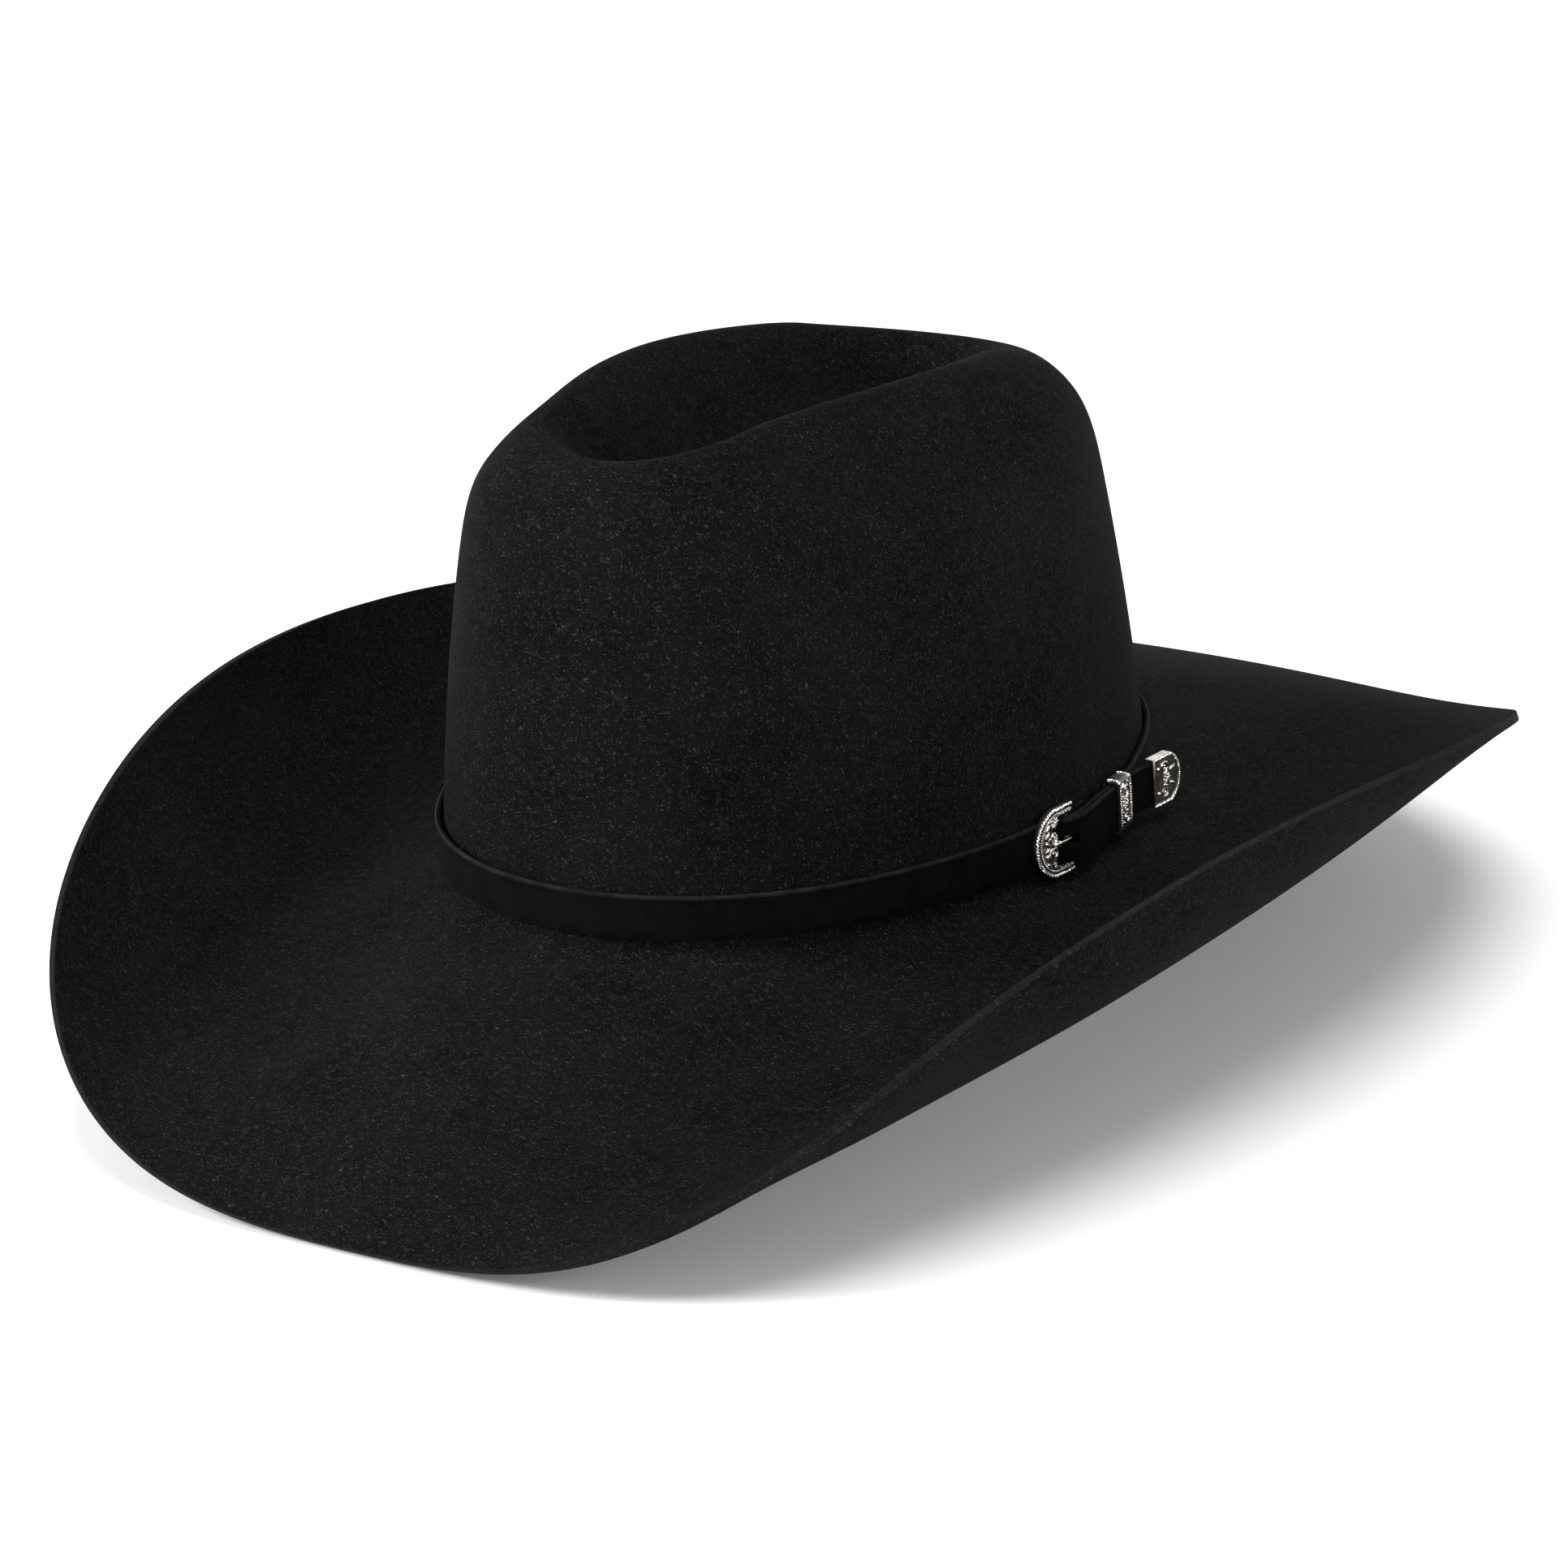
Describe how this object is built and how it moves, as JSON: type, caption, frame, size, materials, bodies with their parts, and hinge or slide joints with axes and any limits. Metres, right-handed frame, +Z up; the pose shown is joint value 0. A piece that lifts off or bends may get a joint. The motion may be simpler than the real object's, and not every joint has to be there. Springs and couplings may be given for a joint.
{
  "type": "cowboy hat",
  "caption": "Black felt western hat with a creased crown, a curled brim, a leather hatband with a silver buckle set, and a sweatband and lining inside.",
  "frame": {"origin": "centre of the head opening, at the level where the brim meets the crown", "axes": "+Z up the crown, -Y to the front of the hat, +X to the wearer's left"},
  "size_m": [0.337, 0.4051, 0.1754],
  "materials": {
    "felt": "soft napped wool or fur felt, near-black",
    "sweatband_leather": "smooth brown sheepskin",
    "reed_plastic": "matt",
    "tape_fabric": "woven tape",
    "thread_tan": "thread",
    "ribbon": "satin ribbon",
    "label": "blank woven tag",
    "satin": "satin weave",
    "piping": "covered cord",
    "clear_vinyl": "clear",
    "band_leather": "matt suede",
    "thread_black": "thread",
    "silver": "antiqued silver with dark recesses"
  },
  "bodies": {
    "hat": {"felt_body": "felt", "sweatband": "sweatband_leather", "sweatband_reed": "reed_plastic", "reed_tape": "tape_fabric", "sweatband_stitches": "thread_tan", "sweatband_seam_stitches": "thread_tan", "sweatband_bow": "ribbon", "size_label": "label", "liner_wall": "satin", "liner_tip": "satin", "liner_piping": "piping", "liner_shield": "clear_vinyl", "hatband_strap": "band_leather", "chape_stitches": "thread_black", "hatband_tacks": "thread_black", "strap_tip": "silver", "tip_rivets": "silver"},
    "buckle": {"buckle_frame": "silver", "buckle_bar": "silver"},
    "tongue": {"buckle_tongue": "silver"},
    "keeper_loop": {"keeper": "silver"}
  },
  "joints": [
    {"name": "buckle_swivel", "type": "hinge", "parent": "hat", "child": "buckle", "pos_m": [0.08848, -0.00494, 0.0104], "axis": [0, 0, 1], "range_deg": [0, 8]},
    {"name": "tongue_hinge", "type": "hinge", "parent": "buckle", "child": "tongue", "pos_m": [0.08848, -0.00494, 0.0104], "axis": [0, 0, 1], "range_deg": [0, 32]},
    {"name": "keeper_slide", "type": "hinge", "parent": "hat", "child": "keeper_loop", "pos_m": [-0.04024, 0, 0.0104], "axis": [0, 0, 1], "range_deg": [-2, 1]}
  ]
}
